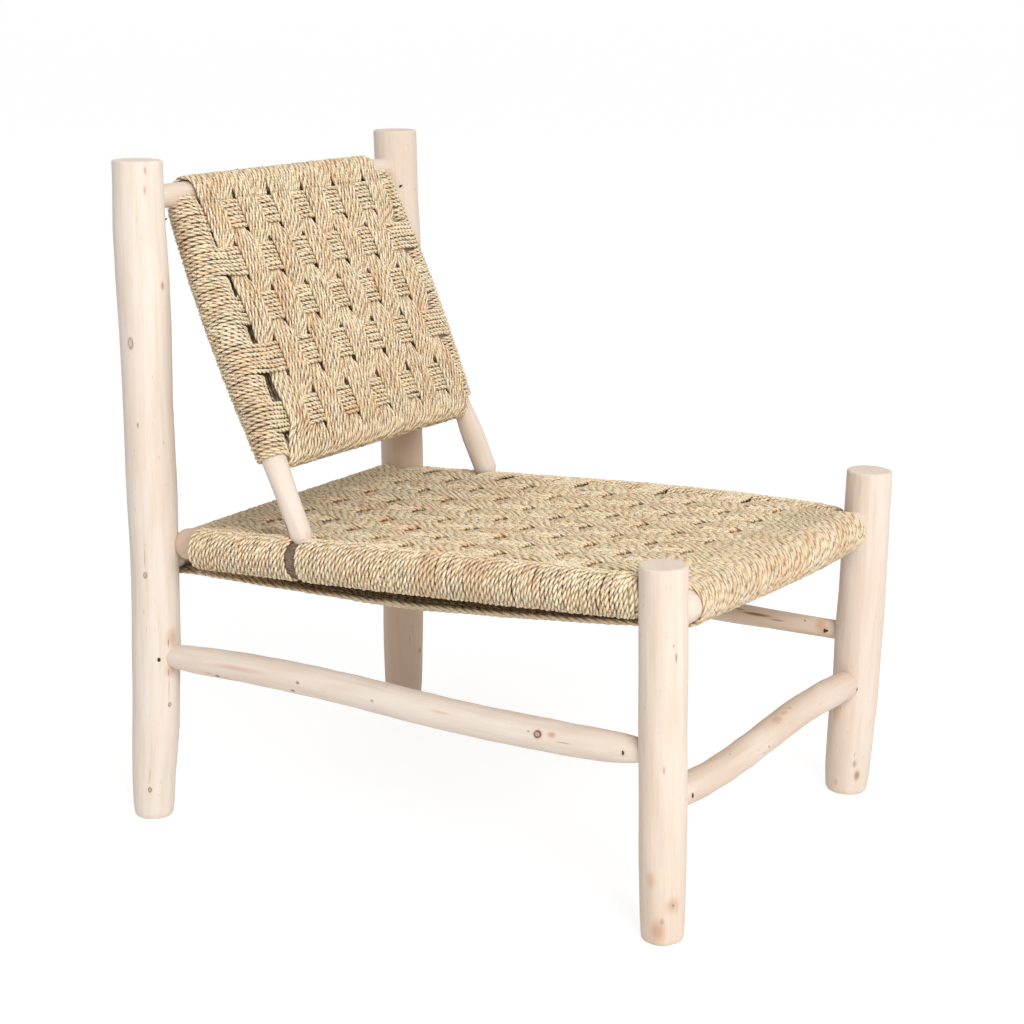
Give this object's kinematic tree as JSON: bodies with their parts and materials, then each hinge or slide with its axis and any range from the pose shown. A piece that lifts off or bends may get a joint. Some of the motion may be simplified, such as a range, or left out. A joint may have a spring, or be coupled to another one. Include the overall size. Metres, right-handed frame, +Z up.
{
  "type": "woven palm rope lounge chair",
  "caption": "Low lounge chair of peeled round poles with a slanted back, its seat and back woven from flat bands of twisted palm rope in a checker pattern.",
  "frame": {"origin": "centre of the bounding box's footprint, on the floor", "axes": "+Z up; the front faces -Y; +X is the sitter's left"},
  "size_m": [0.5944, 0.761, 0.805],
  "materials": {
    "peeled_wood": "peeled, dry and unvarnished",
    "bark_on_wood": "thin brown bark left on",
    "palm_rope": "matt, twisted palm leaf",
    "iron_nail": "dull dark iron"
  },
  "bodies": {
    "root": {"rear_right_post": "peeled_wood", "rear_left_post": "peeled_wood", "front_right_post": "peeled_wood", "front_left_post": "peeled_wood", "back_top_rail": "peeled_wood", "front_seat_rail": "peeled_wood", "rear_seat_rail": "peeled_wood", "left_seat_rail": "peeled_wood", "right_stretcher": "peeled_wood", "left_stretcher": "peeled_wood", "front_stretcher": "peeled_wood", "right_stile": "peeled_wood", "left_stile": "peeled_wood", "back_crossbar": "peeled_wood", "right_seat_rail": "bark_on_wood", "seat_warp_bands": "palm_rope", "seat_weft_bands": "palm_rope", "right_rail_wraps": "palm_rope", "left_rail_wraps": "palm_rope", "back_warp_bands": "palm_rope", "back_weft_bands": "palm_rope", "right_stile_wraps": "palm_rope", "left_stile_wraps": "palm_rope", "joint_nails": "iron_nail"}
  },
  "joints": []
}
